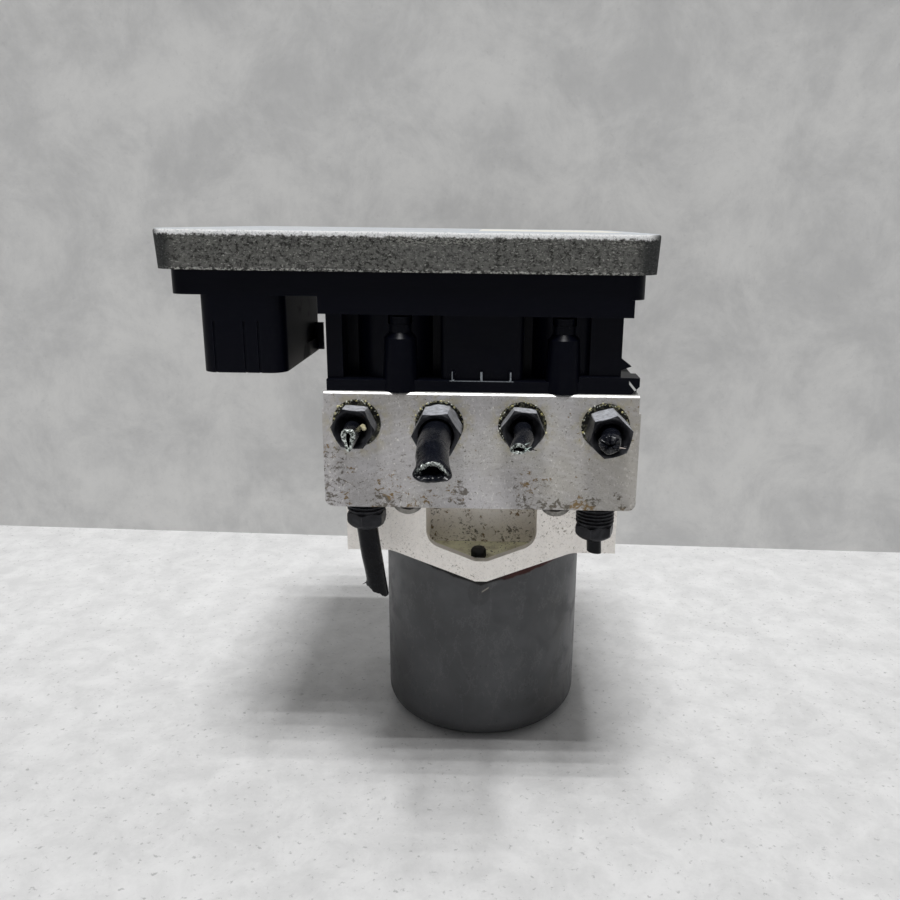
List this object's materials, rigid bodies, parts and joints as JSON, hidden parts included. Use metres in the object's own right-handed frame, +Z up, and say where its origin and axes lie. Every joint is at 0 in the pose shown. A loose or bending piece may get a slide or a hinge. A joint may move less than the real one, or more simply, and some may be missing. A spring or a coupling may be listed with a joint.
{
  "type": "abs brake module",
  "caption": "Machined valve block with a round pump motor below, a black control unit and cast cover plate on top, and pipe nuts holding cut brake pipes.",
  "frame": {"origin": "centre of the flat end of the pump motor, which the module stands on", "axes": "+Z up along the motor axis, -Y the way the pipe ports face, +X to the right of the ports"},
  "size_m": [0.1416, 0.1653, 0.184],
  "materials": {
    "cast_cover": "rough die-cast skin, edges worn bright",
    "black_housing": "moulded glass-filled plastic, satin",
    "machined_block": "milled, with corrosion specks",
    "black_nut": "black zinc, worn corners",
    "black_pipe": "black coated steel, bare at the cuts",
    "zinc_can": "dull zinc plate, mottled",
    "yellow_zinc": "yellow zinc plate, stained",
    "black_rubber": "matt",
    "red_seal": "matt",
    "grey_bead": "matt",
    "board_green": "solder mask",
    "chip_black": "moulded",
    "tin_pins": "tinned",
    "copper": "wound wire and copper",
    "steel": "turned",
    "bronze": "sintered",
    "lamination": "stacked sheet",
    "ferrite": "ground ferrite",
    "carbon": "pressed carbon",
    "brown_plastic": "moulded phenolic",
    "turned_aluminium": "turned"
  },
  "bodies": {
    "module": {"accumulator_cap_left": "turned_aluminium", "accumulator_cap_right": "turned_aluminium", "accumulator_spring_left": "steel", "accumulator_spring_right": "steel", "board_parts": "chip_black", "brush_plate": "brown_plastic", "brushes": "carbon", "circuit_board": "board_green", "connector_pins": "tin_pins", "cover_plate": "cast_cover", "cover_seal": "grey_bead", "ecu_housing": "black_housing", "housing_screws": "black_nut", "housing_seal": "black_rubber", "inlet_coils": "copper", "inlet_nut_left": "black_nut", "inlet_nut_right": "black_nut", "inlet_pipe_left": "black_pipe", "inlet_pipe_right": "black_pipe", "inlet_valves": "steel", "magnets": "ferrite", "motor_can": "zinc_can", "motor_end_plate": "yellow_zinc", "motor_lead": "tin_pins", "motor_screws": "steel", "motor_seal": "red_seal", "outlet_coils": "copper", "outlet_valves": "steel", "port_nut_1": "black_nut", "port_nut_2": "black_nut", "port_nut_3": "black_nut", "port_nut_4": "black_nut", "port_pipe_1": "black_pipe", "port_pipe_2": "black_pipe", "port_pipe_3": "black_pipe", "port_pipe_4": "black_pipe", "pump_plug_left": "turned_aluminium", "pump_plug_right": "turned_aluminium", "rear_bush": "bronze", "shaft_bearing": "steel", "valve_block": "machined_block", "vent_plug": "black_rubber"},
    "rotor": {"rotor_shaft": "steel", "rotor_core": "lamination", "commutator": "copper", "eccentric_bearing": "steel"},
    "pump_piston_left": {"pump_piston_left": "steel"},
    "pump_piston_right": {"pump_piston_right": "steel"},
    "accumulator_piston_left": {"accumulator_piston_left": "turned_aluminium"},
    "accumulator_piston_right": {"accumulator_piston_right": "turned_aluminium"},
    "armature_1": {"armature_1": "steel"},
    "armature_2": {"armature_2": "steel"},
    "armature_3": {"armature_3": "steel"},
    "armature_4": {"armature_4": "steel"},
    "armature_5": {"armature_5": "steel"},
    "armature_6": {"armature_6": "steel"},
    "armature_7": {"armature_7": "steel"},
    "armature_8": {"armature_8": "steel"}
  },
  "joints": [
    {"name": "rotor_spin", "type": "hinge", "parent": "module", "child": "rotor", "pos_m": [0, 0, 0.03], "axis": [0, 0, 1], "continuous": true},
    {"name": "pump_stroke_left", "type": "slide", "parent": "module", "child": "pump_piston_left", "axis": [-1, 0, 0], "range_m": [0, 0.0016], "stiffness_N_per_m": 1000, "springref_m": -0.003},
    {"name": "pump_stroke_right", "type": "slide", "parent": "module", "child": "pump_piston_right", "axis": [1, 0, 0], "range_m": [0, 0.0016], "stiffness_N_per_m": 1000, "springref_m": -0.003},
    {"name": "accumulator_stroke_left", "type": "slide", "parent": "module", "child": "accumulator_piston_left", "axis": [0, 0, -1], "range_m": [0, 0.004], "stiffness_N_per_m": 500, "springref_m": -0.01, "deforming": ["accumulator_spring_left"]},
    {"name": "accumulator_stroke_right", "type": "slide", "parent": "module", "child": "accumulator_piston_right", "axis": [0, 0, -1], "range_m": [0, 0.004], "stiffness_N_per_m": 500, "springref_m": -0.01, "deforming": ["accumulator_spring_right"]},
    {"name": "valve_stroke_1", "type": "slide", "parent": "module", "child": "armature_1", "axis": [0, 0, -1], "range_m": [0, 0.0003], "stiffness_N_per_m": 2000, "springref_m": -0.001},
    {"name": "valve_stroke_2", "type": "slide", "parent": "module", "child": "armature_2", "axis": [0, 0, -1], "range_m": [0, 0.0003], "stiffness_N_per_m": 2000, "springref_m": -0.001},
    {"name": "valve_stroke_3", "type": "slide", "parent": "module", "child": "armature_3", "axis": [0, 0, -1], "range_m": [0, 0.0003], "stiffness_N_per_m": 2000, "springref_m": -0.001},
    {"name": "valve_stroke_4", "type": "slide", "parent": "module", "child": "armature_4", "axis": [0, 0, -1], "range_m": [0, 0.0003], "stiffness_N_per_m": 2000, "springref_m": -0.001},
    {"name": "valve_stroke_5", "type": "slide", "parent": "module", "child": "armature_5", "axis": [0, 0, 1], "range_m": [0, 0.0003], "stiffness_N_per_m": 2000, "springref_m": -0.001},
    {"name": "valve_stroke_6", "type": "slide", "parent": "module", "child": "armature_6", "axis": [0, 0, 1], "range_m": [0, 0.0003], "stiffness_N_per_m": 2000, "springref_m": -0.001},
    {"name": "valve_stroke_7", "type": "slide", "parent": "module", "child": "armature_7", "axis": [0, 0, 1], "range_m": [0, 0.0003], "stiffness_N_per_m": 2000, "springref_m": -0.001},
    {"name": "valve_stroke_8", "type": "slide", "parent": "module", "child": "armature_8", "axis": [0, 0, 1], "range_m": [0, 0.0003], "stiffness_N_per_m": 2000, "springref_m": -0.001}
  ]
}
